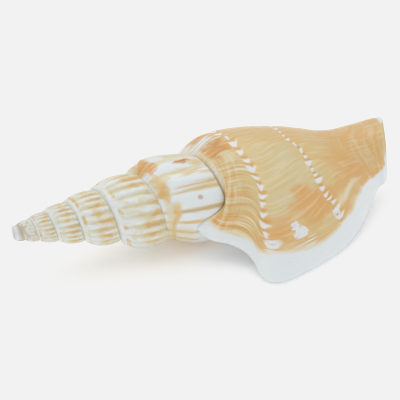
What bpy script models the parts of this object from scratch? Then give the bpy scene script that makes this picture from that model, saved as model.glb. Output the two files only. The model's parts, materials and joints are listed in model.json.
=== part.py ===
"""Conch shell with a high ribbed spire and a flared lip, lying on its aperture.

The shell grew as one piece, so it is one closed solid. Its surface is one sheet that winds round the
coiling axis. Angles are degrees of growth: 0 is the back of the last whorl, 90 the lip's side, and every
360 less is one whorl earlier. Lengths are millimetres until the mesh is made.
"""

import bmesh
import bpy
import numpy as np

MM = 0.001
NODE = "shell"

# Spiral
TURN = 360.0
GROWTH = 1.396  # size of a whorl over the size of the one before
SPIRAL_POLE = -5.15  # X where the worn-off tip would have come to a point
BACK_REACH = 39.57  # from the pole to the last suture, at the back
SUTURE_RADIUS = 8.80  # at the same place
SLENDER = 0.883  # below 1, the spire's sides are bowed
LIP = 104.0  # growth line of the lip's edge
SEAM = LIP - TURN
RIBS = 22
ROW = TURN / RIBS / 3  # a row of points on each side of a rib and one in each furrow
WHORLS_KEPT = 5.91  # from the worn tip to the lip's growth line, a turn back
START = SEAM - round(WHORLS_KEPT * TURN / ROW) * ROW
TIP_X = -1.0  # the tip is worn down to a flat here
TIP_RADIUS = 1.3
TIP_ROUND = 0.15
TIP_WEAR = 480.0  # degrees of growth over which the ribs are worn down

# Suture near the lip, which climbs back over the spire: growth angle, then how far
CLIMB = [(64, 0), (70, 0.25), (76, 0.85), (82, 2.3), (88, 4.4), (96, 6.5), (104, 7.53)]

# Spire whorls, as shares of the distance to the pole, and the broad folds before the last whorl
BULGE = 0.041
BULGE_SKEW = 0.75  # below 1, the whorls are fullest towards their sutures
BULGE_FULLNESS = 0.85
CORD = 0.011  # the cord below the suture, and the groove after it, at shares of the whorl's width
CORD_AT = 0.06
CORD_WIDTH = 0.038
GROOVE = 0.007
GROOVE_AT = 0.14
GROOVE_WIDTH = 0.030
RIB_HEIGHT = 0.022
RIBS_BEGIN = (0.10, 0.24)  # shares of the whorl's width over which the ribs rise and fall away
RIBS_END = (1.0, 0.88)
FURROW_ROUNDING = 0.02
RIBS_FADE = 90.0  # degrees of growth into the last whorl
RIB_MEAN = 0.6  # of the rib's height lies inside the whorl's plain outline
SAG = 0.026  # the underside's extra fullness
SAG_SIDE = 148.0
SAG_REACH = (10.0, 24.0)  # distances from the pole over which it comes in
FOLDS = [(-420, 0), (-385, 1.55), (-350, 2.6), (-325, 3.4), (-300, 4.4), (-285, 5.05), (-270, 5.95),
         (-250, 7.15), (-100, 16)]

# Back of the last spire whorl: share of its width, then height as a share of the distance to the pole
BACK = [(0, 0), (0.1, 0.011), (0.2, 0.018), (0.33, 0.008), (0.48, 0), (0.6, -0.008), (0.7, -0.014),
        (0.85, -0.020), (1, -0.020)]
BACK_SIDE = -380.0
BACK_WIDTH = 30.0

# Last whorl: widest radius by growth angle, and outline by share of the way to the front end
WIDEST = [(-341, 9.0), (-256, 9.25), (-212, 9.5), (-180, 9.2), (-150, 9.6), (-90, 10.8), (-32, 11.4),
          (0, 11.6), (60, 12.0), (104, 12.0)]
OUTLINE = [(0, 0.80), (0.15, 0.985), (0.20, 1.0), (0.29, 0.985), (0.38, 0.94), (0.47, 0.88), (0.56, 0.79),
           (0.65, 0.69), (0.74, 0.62), (0.83, 0.595), (0.92, 0.59), (1, 0.60)]
UNDERSIDE = [(0, 0.80), (0.10, 0.98), (0.16, 1.0), (0.30, 1.0), (0.38, 0.985), (0.47, 0.91), (0.56, 0.80),
             (0.65, 0.69), (0.74, 0.62), (0.83, 0.595), (0.92, 0.59), (1, 0.60)]
UNDER_SIDE = -180.0  # growth angle of the underside
UNDER_WIDTH = 40.0
SHOULDER = [(0, 0), (0.2, 0.30), (0.4, 0.60), (0.65, 0.88), (0.85, 0.97), (1, 1)]
SHOULDER_END = 0.15
SETTLE = 85.0  # degrees of growth over which a spire whorl turns into the last one
FRONT = [(-256, 73.5), (-150, 75.0), (-60, 77.8), (-10, 78.0), (25, 75.9), (50, 75.1), (80, 75.3),
         (104, 76.3)]
FRONT_HOLLOW = 1.2  # how far the front end's rim is cut back on the flared side
HOLLOW_FROM = 0.75
CANAL_RISE = 1.3  # the front end bends up towards the back
CANAL_FROM = 62.0
CANAL_LENGTH = 16.0
COLUMELLA_END = 73.9  # X of the columella's end, on the axis
COLUMELLA_DRAW = 0.62  # how far the underside draws in towards the columella
DRAW_TURN = (-100.0, -250.0)  # growth angles, then shares, over which it does
DRAW_SHARE = (0.24, 0.74)

# Lip: share of the way to the front end, then X, Y and Z of the middle of its rounded edge, and the way
# that the edge points
FLARE_FROM = 25.0
EDGE = [(0.000, 30.9, -8.2, -2.3), (0.035, 32.4, -9.9, -2.8), (0.070, 34.6, -10.7, -3.45),
        (0.105, 37.0, -11.5, -4.05), (0.140, 39.3, -13.5, -5.1), (0.165, 40.3, -16.0, -6.5),
        (0.190, 40.5, -18.6, -7.6), (0.215, 41.3, -20.1, -7.9), (0.240, 43.2, -20.7, -7.85),
        (0.270, 46.6, -20.2, -7.76), (0.330, 52.3, -18.8, -7.6), (0.400, 57.8, -17.0, -7.25),
        (0.480, 63.4, -14.0, -6.2), (0.580, 68.0, -10.5, -5.05), (0.700, 71.4, -7.75, -4.15),
        (0.820, 73.6, -6.35, -3.5), (0.920, 75.2, -6.15, -2.95), (1.000, 76.3, -5.4, -2.4)]
EDGE_WAY = [(0, 0, 0.30, -0.95), (0.04, -0.45, -0.05, -0.87), (0.10, -0.5, -0.2, -0.8),
            (0.15, -0.35, -0.35, -0.84), (0.20, -0.1, -0.35, -0.93), (0.27, 0.1, -0.3, -0.94),
            (0.40, 0.15, -0.25, -0.94), (0.60, 0.2, -0.1, -0.96), (0.80, 0.1, 0.1, -0.98),
            (1, 0, 0.42, -0.91)]
LEAVE_BACK = 0.38  # shares of the span that the flare's curve keeps to its two end directions
MEET_EDGE = 0.30
JOIN_SHARE = 0.07

# Walls
WALL = 1.1
WALL_TO_FLOOR = 0.55  # most of the room above the floor that the wall may fill
LEAST_ROOM = 0.2
LIP_WALL = [(0, 0.3), (0.03, 1.2), (0.06, 1.7), (0.14, 2.2), (0.30, 2.3), (0.50, 1.9), (0.70, 1.3),
            (0.85, 0.9), (1, 0.75)]
LIP_THICKENS_FROM = 60.0
CAVITY_DEPTH = 278.0  # degrees that the hollow winds in from the lip
INNER_ROW = 3 * ROW
FLOOR_TAPER = [(0, 0.94), (0.10, 0.86), (0.25, 0.62), (0.40, 0.45), (0.70, 0.30), (1, 0.26)]
FLOOR_SETTLES = 110.0

# Columns of points: across a spire whorl, then on to the front end
ACROSS = [0, 0.07, 0.15, 0.35, 0.60, 0.82, 1.0]
ONWARD = [0.125, 0.15, 0.17, 0.19, 0.21, 0.235, 0.27, 0.32, 0.38, 0.44, 0.50, 0.57, 0.65, 0.74, 0.83, 0.92,
          1.0]
WALL_FROM_COLUMN = 4
RIM_STEPS = 3

# Steps for slopes, in degrees of growth and in share
NEAR_ANGLE = 0.25
NEAR_SHARE = 0.003

# Rest
AXIS_TILT = 1.473  # the front end lies this much lower, in degrees

COLOUR = (0.80, 0.62, 0.38, 1.0)
ROUGHNESS = 0.32


def smooth(t):
    t = np.clip(t, 0, 1)
    return t * t * (3 - 2 * t)


def rise(value, low, high):
    """0 below low and 1 above high, or the other way round if low is the higher one."""
    return smooth((np.asarray(value, float) - low) / (high - low))


def curve(at, points):
    """Values of a smooth curve through points, each a position and one or more values."""
    table = np.array(points, float)
    xs, ys = table[:, 0], table[:, 1:]
    at = np.asarray(at, float)
    x = np.clip(at.ravel(), xs[0], xs[-1])
    slope = np.empty_like(ys)
    slope[1:-1] = (ys[2:] - ys[:-2]) / (xs[2:] - xs[:-2])[:, None]
    slope[0] = (ys[1] - ys[0]) / (xs[1] - xs[0])
    slope[-1] = (ys[-1] - ys[-2]) / (xs[-1] - xs[-2])
    i = np.clip(np.searchsorted(xs, x, side="right") - 1, 0, len(xs) - 2)
    step = (xs[i + 1] - xs[i])[:, None]
    t = (x - xs[i])[:, None] / step
    value = (
        (2 * t**3 - 3 * t**2 + 1) * ys[i]
        + (t**3 - 2 * t**2 + t) * step * slope[i]
        + (3 * t**2 - 2 * t**3) * ys[i + 1]
        + (t**3 - t**2) * step * slope[i + 1]
    )
    return value.reshape(at.shape) if ys.shape[1] == 1 else value.reshape(at.shape + (ys.shape[1],))


def hump(value, middle, width):
    return np.exp(-(((value - middle) / width) ** 2))


def reach(angle):
    """Distance from the spiral's pole to the suture, along the axis."""
    return BACK_REACH * GROWTH ** (np.asarray(angle, float) / TURN)


def suture_x(angle):
    return reach(angle) + SPIRAL_POLE - curve(angle, CLIMB)


def regular_radius(angle):
    return SUTURE_RADIUS * (reach(angle) / BACK_REACH) ** SLENDER


def rib_count(angle):
    """Ribs passed. They are evenly spaced but on the last spire whorl, where they stand further apart."""
    angle = np.asarray(angle, float)
    even = RIBS * (angle - SEAM) / TURN + 0.5
    before_folds = RIBS * (FOLDS[0][0] - SEAM) / TURN + 0.5
    return np.where(angle < FOLDS[0][0], even, before_folds + curve(angle, FOLDS))


def rib(angle, share):
    """Height of the ribs, as a share of the distance to the pole. They fade at both ends."""
    along = rise(share, *RIBS_BEGIN) * rise(share, *RIBS_END)
    fading = rise(angle, SEAM + RIBS_FADE, SEAM) * rise(angle, START, START + TIP_WEAR)
    ridge = np.sqrt(np.cos(np.pi * rib_count(angle)) ** 2 + FURROW_ROUNDING) - RIB_MEAN
    return RIB_HEIGHT * ridge * along * fading


def whorl_radius(angle, x):
    """Radius of a spire whorl at X, its bulge, cord and ribs included."""
    start = reach(angle) + SPIRAL_POLE
    share = np.clip((x - start) / (reach(angle) * (GROWTH - 1)), 0, 1)
    base = regular_radius(angle) * (1 - share) + regular_radius(np.asarray(angle) + TURN) * share
    facing_down = np.clip(np.cos(np.radians(angle - SAG_SIDE)), 0, 1) ** 2
    below = facing_down * rise(reach(angle), *SAG_REACH)
    bulge = (BULGE + SAG * below) * np.sin(np.pi * share**BULGE_SKEW) ** BULGE_FULLNESS
    cord = CORD * hump(share, CORD_AT, CORD_WIDTH) - GROOVE * hump(share, GROOVE_AT, GROOVE_WIDTH)
    back = curve(share, BACK) * hump(angle, BACK_SIDE, BACK_WIDTH)
    return base + reach(angle) * (bulge + cord + back + rib(angle, share))


def spire_radius(angle, x):
    """Radius of the spire at X. Near the lip's growth line it turns into the last whorl's outline."""
    angle, x = np.broadcast_arrays(np.asarray(angle, float), np.asarray(x, float))
    plain = whorl_radius(angle, x)
    settled = rise(angle, SEAM - SETTLE, SEAM)
    if not settled.any():
        return plain
    start = suture_x(angle)
    last = last_radius(angle, (x - start) / (curve(angle, FRONT) - start))
    return plain * (1 - settled) + last * settled


def suture_radius(angle):
    """The suture lies on the whorl before."""
    return spire_radius(np.asarray(angle, float) - TURN, suture_x(angle))


def last_radius(angle, share):
    """Radius of the last whorl, share of the way from its suture to the front end."""
    widest = curve(angle, WIDEST)
    under = hump(angle, UNDER_SIDE, UNDER_WIDTH)
    far = np.maximum(share, SHOULDER_END)
    radius = widest * (curve(far, OUTLINE) * (1 - under) + curve(far, UNDERSIDE) * under)
    shoulder = curve(share / SHOULDER_END, SHOULDER)
    start = suture_radius(angle)
    radius = np.where(share < SHOULDER_END, start + (radius - start) * shoulder, radius)
    draw = rise(angle, *DRAW_TURN) * rise(share, *DRAW_SHARE)
    return radius * (1 - COLUMELLA_DRAW * draw)


def axis_rise(x):
    """The axis bends up towards the front end."""
    return CANAL_RISE * rise(x, CANAL_FROM, CANAL_FROM + CANAL_LENGTH)


def round_axis(x, radius, angle):
    a = np.radians(angle)
    return np.stack(np.broadcast_arrays(x, -radius * np.sin(a), radius * np.cos(a) + axis_rise(x)), -1)


def last_x(angle, share):
    start = suture_x(angle)
    return start + (curve(angle, FRONT) - start) * share


def ring_point(angle, share):
    return round_axis(last_x(angle, share), last_radius(angle, share), angle)


def flared_point(angle, share):
    """On the flared lip: a curve from the back of the whorl to the lip's edge, at one share."""
    back = ring_point(np.full_like(share, FLARE_FROM), share)
    a = np.radians(FLARE_FROM)
    leaving = np.array([0, -np.cos(a), -np.sin(a)])
    way = curve(share, EDGE_WAY)
    way /= np.linalg.norm(way, axis=-1, keepdims=True)
    further = np.minimum(share + NEAR_SHARE, 1)
    out = np.cross(way, curve(further, EDGE) - curve(further - 2 * NEAR_SHARE, EDGE))
    out /= np.linalg.norm(out, axis=-1, keepdims=True)
    edge = curve(share, EDGE) + out * curve(share, LIP_WALL)[..., None] / 2
    span = np.linalg.norm(edge - back, axis=-1, keepdims=True)
    u = np.clip((angle - FLARE_FROM) / (LIP - FLARE_FROM), 0, 1)[..., None]
    b, c = back + LEAVE_BACK * span * leaving, edge - MEET_EDGE * span * way
    point = (1 - u) ** 3 * back + 3 * (1 - u) ** 2 * u * b + 3 * (1 - u) * u**2 * c + u**3 * edge
    hollow = FRONT_HOLLOW * rise(share, HOLLOW_FROM, 1)[..., None] * 4 * u * (1 - u)
    return point - hollow * [1, 0, 0]


def outer_point(angle, share):
    """The last whorl's outer surface, from the seam to the lip."""
    angle, share = np.broadcast_arrays(np.asarray(angle, float), np.asarray(share, float))
    ring = ring_point(angle, share)
    free = rise(share, 0, JOIN_SHARE)[..., None]
    flared = flared_point(angle, share) * free + ring * (1 - free)
    return np.where((angle > FLARE_FROM)[..., None], flared, ring)


def outward(angle, share):
    """Unit normal of the outer surface, and its direction of growth."""
    later = np.minimum(angle + NEAR_ANGLE, LIP)
    grow = outer_point(later, share) - outer_point(later - 2 * NEAR_ANGLE, share)
    further = np.minimum(share + NEAR_SHARE, 1)
    on = outer_point(angle, further) - outer_point(angle, further - 2 * NEAR_SHARE)
    normal = np.cross(grow, on)
    normal /= np.linalg.norm(normal, axis=-1, keepdims=True)
    return normal, grow / np.linalg.norm(grow, axis=-1, keepdims=True)


def floor_x(angle, share):
    """X on the floor of the hollow, which starts just past the suture and ends with the columella."""
    start = suture_x(angle) + FLOOR_GAP
    along = (share - SHARES[JOIN_COLUMN]) / (1 - SHARES[JOIN_COLUMN])
    return start + (curve(SEAM, FRONT) - start) * along


def floor_radius(angle, x):
    """Radius of the hollow's floor: the whorl before, tapering to the columella."""
    start = suture_x(angle)
    front = curve(SEAM, FRONT)
    local = np.clip((x - start) / (front - start), 0, 1)
    deep = suture_radius(angle) * curve(local, FLOOR_TAPER)
    seam_share = (x - suture_x(SEAM)) / (front - suture_x(SEAM))
    near = last_radius(np.full_like(x, SEAM), np.clip(seam_share, 0, 1))
    settled = rise(angle, LIP, LIP - FLOOR_SETTLES)
    return near * (1 - settled) + deep * settled


SEAM_SHARE = float((suture_x(LIP) - suture_x(SEAM)) / (curve(SEAM, FRONT) - suture_x(SEAM)))
SHARES = np.array([SEAM_SHARE * a for a in ACROSS] + ONWARD)
JOIN_COLUMN = len(ACROSS)
FLOOR_GAP = float((SHARES[JOIN_COLUMN] - SEAM_SHARE) * (curve(SEAM, FRONT) - suture_x(SEAM)))


def wall_point(angle, share):
    """Inner face of the wall: the outer surface, moved in by the wall's thickness."""
    angle, share = np.broadcast_arrays(np.asarray(angle, float), np.asarray(share, float))
    outer = outer_point(angle, share)
    normal, _ = outward(angle, share)
    near_lip = rise(angle, LIP_THICKENS_FROM, LIP)
    thickness = WALL + (curve(share, LIP_WALL) - WALL) * near_lip
    radius = np.hypot(outer[..., 1], outer[..., 2] - axis_rise(outer[..., 0]))
    room = radius - floor_radius(angle, outer[..., 0])
    return outer - normal * np.minimum(thickness, WALL_TO_FLOOR * np.maximum(room, LEAST_ROOM))[..., None]


class Sheet:
    """Points and faces of the closed surface."""

    def __init__(self):
        self.points = []
        self.faces = []

    def add(self, points):
        """Adds points of any grid shape, and returns their numbers in that shape."""
        points = np.asarray(points, float)
        first = len(self.points)
        self.points.extend(points.reshape(-1, 3))
        return first + np.arange(points.size // 3).reshape(points.shape[:-1])

    def face(self, *corners):
        kept = [c for i, c in enumerate(corners) if c != corners[i - 1]]
        if len(kept) > 2:
            self.faces.append([int(c) for c in kept])

    def grid(self, rows):
        for low, high in zip(rows[:-1], rows[1:]):
            for j in range(len(low) - 1):
                self.face(low[j], high[j], high[j + 1], low[j + 1])

    def between(self, a, b):
        """Triangles between two lines of points that need not have as many points as each other."""
        i = j = 0
        while i < len(a) - 1 or j < len(b) - 1:
            behind = (i + 1) * (len(b) - 1) <= (j + 1) * (len(a) - 1)
            if j == len(b) - 1 or (i < len(a) - 1 and behind):
                self.face(a[i], a[i + 1], b[j])
                i += 1
            else:
                self.face(a[i], b[j + 1], b[j])
                j += 1


def rounded_edge(outer, inner, ahead, thickness):
    """Points over a rounded edge, from outer points to inner ones. ahead is the way out over the edge."""
    middle, half = (outer + inner) / 2, (outer - inner) / 2
    turn = np.pi * np.arange(1, RIM_STEPS)[:, None] / RIM_STEPS
    over = ahead[:, None] * (thickness[:, None] / 2 * np.sin(turn.T))[..., None]
    return middle[:, None] + half[:, None] * np.cos(turn) + over


def add_tip(sheet, first_row, after_first_row):
    """Closes the spire's start with the worn tip: a flat with a rounded edge."""
    loop = list(first_row) + list(after_first_row[::-1])
    turned = START - TURN * np.arange(len(loop)) / len(loop)
    edge = sheet.add(round_axis(TIP_X + TIP_ROUND, TIP_RADIUS, turned))
    flat = sheet.add(round_axis(TIP_X, TIP_RADIUS - TIP_ROUND, turned))
    middle = sheet.add([TIP_X, 0, 0])
    for k in range(len(loop)):
        sheet.face(loop[k - 1], loop[k], edge[k], edge[k - 1])
        sheet.face(edge[k - 1], edge[k], flat[k], flat[k - 1])
        sheet.face(flat[k - 1], flat[k], middle)


def build_sheet():
    sheet = Sheet()
    per_turn = round(TURN / ROW)
    spire_rows = round((SEAM - START) / ROW)
    columns = len(ACROSS) - 1

    # spire: each row leaves out its last point, which is the first one a whorl later
    angles = START + ROW * np.arange(spire_rows + 1)
    start, end = suture_x(angles), suture_x(angles + TURN)
    x = start[:, None] + (end - start)[:, None] * np.array(ACROSS[:-1])
    wide = np.broadcast_to(angles[:, None], x.shape)
    spire = sheet.add(round_axis(x, spire_radius(wide, x), wide))

    # last whorl: its first row is the spire's last one, carried on to the front end
    angles = SEAM + ROW * np.arange(per_turn + 1)
    last = sheet.add(outer_point(angles[1:, None], SHARES[None, :]))
    onward = sheet.add(outer_point(np.full(len(SHARES) - columns - 1, SEAM), SHARES[columns + 1:]))
    seam_row = np.concatenate([spire[-1], [last[-1, 0]], onward])
    last = np.vstack([seam_row, last])
    follows = np.concatenate([spire[:, 0], last[1:, 0]])
    sheet.grid(np.column_stack([spire, follows[per_turn : per_turn + spire_rows + 1]]))
    sheet.grid(last)
    add_tip(sheet, spire[0], follows[1 : per_turn + 1])

    # inner face of the wall, and the floor under it
    steps = round(CAVITY_DEPTH / INNER_ROW)
    angles = LIP - INNER_ROW * np.arange(steps + 1)
    wall_share = SHARES[WALL_FROM_COLUMN:]
    wall = sheet.add(wall_point(angles[:, None], wall_share[None, :]))
    floor_angle, floor_share = np.meshgrid(angles[1:], SHARES[JOIN_COLUMN:], indexing="ij")
    x = floor_x(floor_angle, floor_share)
    floor = sheet.add(round_axis(x, floor_radius(floor_angle, x), floor_angle))
    floor = np.vstack([seam_row[JOIN_COLUMN:], floor])
    sheet.grid(wall)
    sheet.grid(floor)
    sheet.between(wall[:, 0], floor[:, 0])
    sheet.between(wall[-1], floor[-1])

    # lip's edge, and the corner where it meets the spire
    points = np.array(sheet.points)
    lip = last[-1, WALL_FROM_COLUMN:]
    _, ahead = outward(np.full_like(wall_share, LIP), wall_share)
    edge = sheet.add(rounded_edge(points[lip], points[wall[0]], ahead, curve(wall_share, LIP_WALL)))
    rows = np.column_stack([lip, edge, wall[0]])
    sheet.grid(rows.T)
    sheet.face(*last[-1, :WALL_FROM_COLUMN], *rows[0], floor[0, 0])

    # front end: the wall's edge, then the end of the columella
    rows_back = steps * round(INNER_ROW / ROW)
    sheet.between(last[-1 - rows_back :, -1][::-1], wall[:, -1])
    sheet.face(*rows[-1])
    loop = [*last[:-rows_back, -1], *floor[:0:-1, -1]]
    middle = sheet.add([COLUMELLA_END, 0, CANAL_RISE])
    for k in range(len(loop)):
        sheet.face(loop[k - 1], loop[k], middle)
    sheet.face(last[-1 - rows_back, -1], wall[-1, -1], floor[-1, -1])
    return sheet


def rested(points):
    """Tilts the axis as the shell lies, and puts the origin at the bottom centre of its box."""
    a = np.radians(AXIS_TILT)
    x, y, z = np.array(points).T
    placed = np.stack([x * np.cos(a) + z * np.sin(a), y, z * np.cos(a) - x * np.sin(a)], -1)
    low, high = placed.min(0), placed.max(0)
    placed -= [(low[0] + high[0]) / 2, (low[1] + high[1]) / 2, low[2]]
    return placed * MM


def shell_material():
    material = bpy.data.materials.new("nacre_tan")
    material.use_nodes = True
    finish = material.node_tree.nodes["Principled BSDF"]
    finish.inputs["Base Color"].default_value = COLOUR
    finish.inputs["Roughness"].default_value = ROUGHNESS
    finish.inputs["Metallic"].default_value = 0.0
    return material


def build_shell():
    sheet = build_sheet()
    mesh = bpy.data.meshes.new(NODE)
    mesh.from_pydata(rested(sheet.points).tolist(), [], sheet.faces)
    body = bmesh.new()
    body.from_mesh(mesh)
    bmesh.ops.recalc_face_normals(body, faces=body.faces)
    body.to_mesh(mesh)
    body.free()
    mesh.shade_smooth()
    mesh.materials.append(shell_material())
    shell = bpy.data.objects.new(NODE, mesh)
    bpy.context.scene.collection.objects.link(shell)
    return shell


def main():
    for old in list(bpy.data.objects):
        bpy.data.objects.remove(old)
    build_shell()


main()
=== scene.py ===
"""The conch shell's looks: a fine surface grown by the same rule as the solid, its markings and its gloss.

Angles are degrees of growth: 0 is the back of the last whorl, 90 the lip's side, and every 360 less is one
whorl earlier. Lengths are millimetres until the mesh is made.
"""

import json

import bmesh
import bpy
import numpy as np
from mathutils import Matrix

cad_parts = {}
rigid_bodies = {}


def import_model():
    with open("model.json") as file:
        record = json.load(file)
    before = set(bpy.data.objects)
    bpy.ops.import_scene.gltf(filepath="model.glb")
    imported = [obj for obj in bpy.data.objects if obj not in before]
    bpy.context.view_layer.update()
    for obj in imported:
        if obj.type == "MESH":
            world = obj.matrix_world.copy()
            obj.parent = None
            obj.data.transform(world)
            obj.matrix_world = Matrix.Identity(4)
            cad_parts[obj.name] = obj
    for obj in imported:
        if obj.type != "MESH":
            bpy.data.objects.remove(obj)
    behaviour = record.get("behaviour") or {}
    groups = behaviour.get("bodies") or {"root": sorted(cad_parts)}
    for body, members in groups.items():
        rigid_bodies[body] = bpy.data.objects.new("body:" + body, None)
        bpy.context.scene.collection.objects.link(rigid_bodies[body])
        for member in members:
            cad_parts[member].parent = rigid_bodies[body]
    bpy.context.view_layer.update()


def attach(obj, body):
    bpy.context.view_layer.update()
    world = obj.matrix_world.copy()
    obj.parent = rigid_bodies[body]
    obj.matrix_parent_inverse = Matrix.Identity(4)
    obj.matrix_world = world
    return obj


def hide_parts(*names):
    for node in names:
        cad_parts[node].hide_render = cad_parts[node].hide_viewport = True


MM = 0.001

# Spiral
TURN = 360.0
GROWTH = 1.396
SPIRAL_POLE = -5.15
BACK_REACH = 39.57
SUTURE_RADIUS = 8.80
SLENDER = 0.883
LIP = 104.0
SEAM = LIP - TURN
RIBS = 22
ROWS_PER_RIB = 12
ROW = TURN / RIBS / ROWS_PER_RIB
CAD_ROWS_PER_RIB = 3
WHORLS_KEPT = 5.91
START = SEAM - round(WHORLS_KEPT * RIBS * CAD_ROWS_PER_RIB) * TURN / RIBS / CAD_ROWS_PER_RIB
TIP_X = -1.0
TIP_RADIUS = 1.3
TIP_ROUND = 0.15
TIP_RING = 12.0
TIP_ACROSS = 0.35
TIP_WEAR = 480.0

# Suture near the lip
CLIMB = [(64, 0), (70, 0.25), (76, 0.85), (82, 2.3), (88, 4.4), (96, 6.5), (104, 7.53)]

# Spire whorls, as shares of the distance to the pole
BULGE = 0.041
BULGE_SKEW = 0.75
BULGE_FULLNESS = 0.85
CORD = 0.011
CORD_AT = 0.06
CORD_WIDTH = 0.038
GROOVE = 0.007
GROOVE_AT = 0.14
GROOVE_WIDTH = 0.030
NOTCH = 0.006
NOTCH_WIDTH = 0.016
RIB_HEIGHT = 0.022
RIBS_BEGIN = (0.10, 0.24)
RIBS_END = (1.0, 0.88)
FURROW_ROUNDING = 0.02
RIBS_FADE = 90.0
RIB_MEAN = 0.6
SAG = 0.026
SAG_SIDE = 148.0
SAG_REACH = (10.0, 24.0)
FOLDS = [(-420, 0), (-385, 1.55), (-350, 2.6), (-325, 3.4), (-300, 4.4), (-285, 5.05), (-270, 5.95),
         (-250, 7.15), (-100, 16)]

# Back of the spire's last whorl: share of its width, then how far it stands out
BACK = [(0, 0), (0.1, 0.011), (0.2, 0.018), (0.33, 0.008), (0.48, 0), (0.6, -0.008), (0.7, -0.014),
        (0.85, -0.020), (1, -0.020)]
BACK_SIDE = -380.0
BACK_WIDTH = 30.0

# Last whorl
WIDEST = [(-341, 9.0), (-256, 9.25), (-212, 9.5), (-180, 9.2), (-150, 9.6), (-90, 10.8), (-32, 11.4),
          (0, 11.6), (60, 12.0), (104, 12.0)]
OUTLINE = [(0, 0.80), (0.15, 0.985), (0.20, 1.0), (0.29, 0.985), (0.38, 0.94), (0.47, 0.88), (0.56, 0.79),
           (0.65, 0.69), (0.74, 0.62), (0.83, 0.595), (0.92, 0.59), (1, 0.60)]
UNDERSIDE = [(0, 0.80), (0.10, 0.98), (0.16, 1.0), (0.30, 1.0), (0.38, 0.985), (0.47, 0.91), (0.56, 0.80),
             (0.65, 0.69), (0.74, 0.62), (0.83, 0.595), (0.92, 0.59), (1, 0.60)]
UNDER_SIDE = -180.0
UNDER_WIDTH = 40.0
SHOULDER = [(0, 0), (0.2, 0.30), (0.4, 0.60), (0.65, 0.88), (0.85, 0.97), (1, 1)]
SHOULDER_END = 0.15
SETTLE = 85.0
FRONT = [(-256, 73.5), (-150, 75.0), (-60, 77.8), (-10, 78.0), (25, 75.9), (50, 75.1), (80, 75.3),
         (104, 76.3)]
FRONT_HOLLOW = 1.2
HOLLOW_FROM = 0.75
CANAL_RISE = 1.3
CANAL_FROM = 62.0
CANAL_LENGTH = 16.0
COLUMELLA_END = 73.9
COLUMELLA_DRAW = 0.62
DRAW_TURN = (-100.0, -250.0)
DRAW_SHARE = (0.24, 0.74)
SUTURE_DEPTH = 0.45
SUTURE_WIDTH = 0.008
SUTURE_DEEPENS = (-20.0, 25.0)
SUTURE_ENDS = (LIP, LIP - 6.0)

# Lip: share of the way to the front end, then the middle of its rounded edge, and the way that it points
FLARE_FROM = 25.0
EDGE = [(0.000, 30.9, -8.2, -2.3), (0.035, 32.4, -9.9, -2.8), (0.070, 34.6, -10.7, -3.45),
        (0.105, 37.0, -11.5, -4.05), (0.140, 39.3, -13.5, -5.1), (0.165, 40.3, -16.0, -6.5),
        (0.190, 40.5, -18.6, -7.6), (0.215, 41.3, -20.1, -7.9), (0.240, 43.2, -20.7, -7.85),
        (0.270, 46.6, -20.2, -7.76), (0.330, 52.3, -18.8, -7.6), (0.400, 57.8, -17.0, -7.25),
        (0.480, 63.4, -14.0, -6.2), (0.580, 68.0, -10.5, -5.05), (0.700, 71.4, -7.75, -4.15),
        (0.820, 73.6, -6.35, -3.5), (0.920, 75.2, -6.15, -2.95), (1.000, 76.3, -5.4, -2.4)]
EDGE_WAY = [(0, 0, 0.30, -0.95), (0.04, -0.45, -0.05, -0.87), (0.10, -0.5, -0.2, -0.8),
            (0.15, -0.35, -0.35, -0.84), (0.20, -0.1, -0.35, -0.93), (0.27, 0.1, -0.3, -0.94),
            (0.40, 0.15, -0.25, -0.94), (0.60, 0.2, -0.1, -0.96), (0.80, 0.1, 0.1, -0.98),
            (1, 0, 0.42, -0.91)]
LEAVE_BACK = 0.38
MEET_EDGE = 0.30
JOIN_SHARE = 0.07

# Walls
WALL = 1.1
WALL_TO_FLOOR = 0.55
LEAST_ROOM = 0.2
LIP_WALL = [(0, 0.3), (0.03, 1.2), (0.06, 1.7), (0.14, 2.2), (0.30, 2.3), (0.50, 1.9), (0.70, 1.3),
            (0.85, 0.9), (1, 0.75)]
LIP_THICKENS_FROM = 60.0
CAVITY_DEPTH = 278.0
FLOOR_TAPER = [(0, 0.94), (0.10, 0.86), (0.25, 0.62), (0.40, 0.45), (0.70, 0.30), (1, 0.26)]
FLOOR_SETTLES = 110.0
WALL_START_LIP = 0.012
WALL_START_DEEP = 0.062
WALL_START_TURN = 30.0

# Columns and rows of the fine surface
SPIRE_COLUMNS = 20
CROWDING = 0.55
ONWARD_COLUMNS = 96
ONWARD_FROM = 0.112
ROWS_PER_TURN = round(TURN / ROW)
SPIRE_ROWS = round((SEAM - START) / ROW)
INNER_ROW = 2 * ROW
INNER_ROWS = round(CAVITY_DEPTH / INNER_ROW)
EDGE_STEPS = 8
TIP_SIDE_STEPS = (0.25, 0.5, 0.75)
TIP_CORNER_STEPS = (0, 15, 30, 45, 60, 75, 90)
TIP_FLAT_STEPS = (0.75, 0.5, 0.25)

# Steps to either side for directions on the surface
NEAR_ANGLE = 0.25
NEAR_SHARE = 0.003


def smooth(t):
    t = np.clip(t, 0, 1)
    return t * t * (3 - 2 * t)


def rise(value, low, high):
    """0 below low and 1 above high, or the other way round if low is the higher one."""
    return smooth((np.asarray(value, float) - low) / (high - low))


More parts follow.
